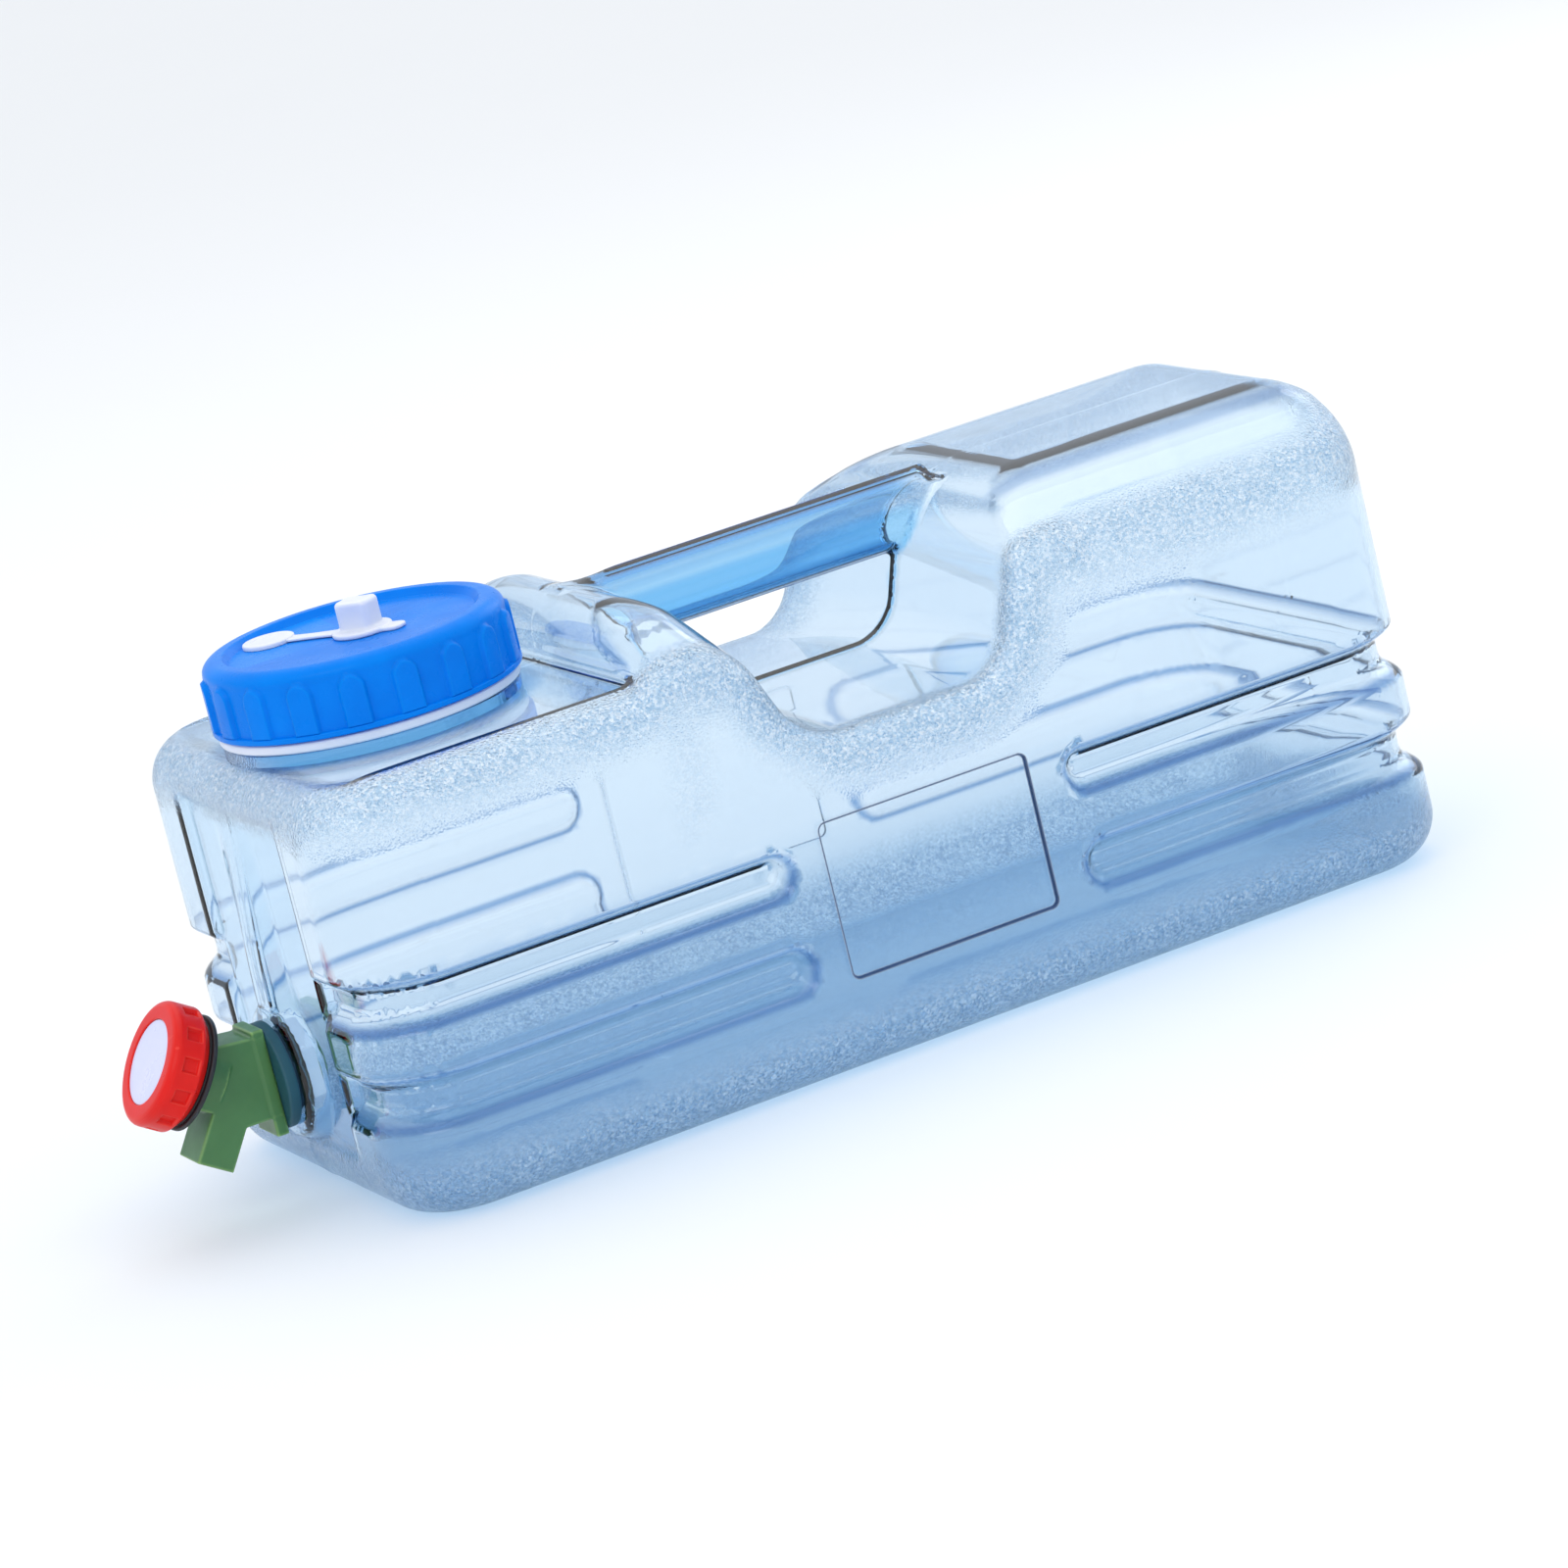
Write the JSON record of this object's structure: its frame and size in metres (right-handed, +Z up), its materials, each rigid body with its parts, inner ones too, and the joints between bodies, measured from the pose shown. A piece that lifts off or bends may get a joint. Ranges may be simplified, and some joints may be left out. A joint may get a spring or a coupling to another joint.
{
  "type": "water jug",
  "caption": "Long clear-blue carry jug with a wide screw lid and pull-up air vent, a moulded-in top handle, gripping grooves and a low quarter-turn tap.",
  "frame": {"origin": "centre of the flat resting face under the body", "axes": "+X along the length away from the tap, +Y across the width, +Z up; the tap and lid are at the -X end"},
  "size_m": [0.5209, 0.21, 0.2145],
  "materials": {
    "body_clear": "clear blue blow-moulded plastic, frosted along the edges",
    "lid_blue": "satin moulded",
    "white_soft": "soft translucent white",
    "tap_green": "satin moulded",
    "gasket_teal": "matt",
    "white_plastic": "moulded",
    "black_rubber": "matt",
    "knob_red": "satin moulded",
    "badge_pale": "plain",
    "screw_steel": "plated"
  },
  "bodies": {
    "jug": {"jug_body": "body_clear", "neck_ring": "white_soft", "tap_body": "tap_green", "tap_gasket": "gasket_teal", "tap_washer": "black_rubber", "tap_lock_nut": "white_plastic", "tap_bonnet_ring": "black_rubber"},
    "lid_carrier": {"lid_gasket": "white_soft"},
    "lid": {"lid": "lid_blue", "vent_strap": "white_soft", "vent_anchor": "white_soft"},
    "vent_plug": {"vent_plug": "white_soft"},
    "tap_handle": {"tap_stem": "white_plastic", "tap_orings": "black_rubber", "tap_knob": "knob_red", "tap_knob_screw": "screw_steel", "tap_badge": "badge_pale"}
  },
  "joints": [
    {"name": "lid_lift", "type": "slide", "parent": "jug", "child": "lid_carrier", "axis": [0, 0, 1], "range_m": [0, 0.0211]},
    {"name": "lid_turn", "type": "hinge", "parent": "lid_carrier", "child": "lid", "pos_m": [-0.1603, 0, 0.18], "axis": [0, 0, 1], "range_deg": [0, 630]},
    {"name": "vent_pull", "type": "slide", "parent": "lid", "child": "vent_plug", "axis": [0, 0, 1], "range_m": [0, 0.009]},
    {"name": "tap_turn", "type": "hinge", "parent": "jug", "child": "tap_handle", "pos_m": [-0.252, 0, 0.0518], "axis": [-0.8387, 0, 0.5446], "range_deg": [0, 90]}
  ],
  "couplings": [
    {"joint": "lid_lift", "follows": "lid_turn", "m_per_rad": 0.0019099}
  ]
}
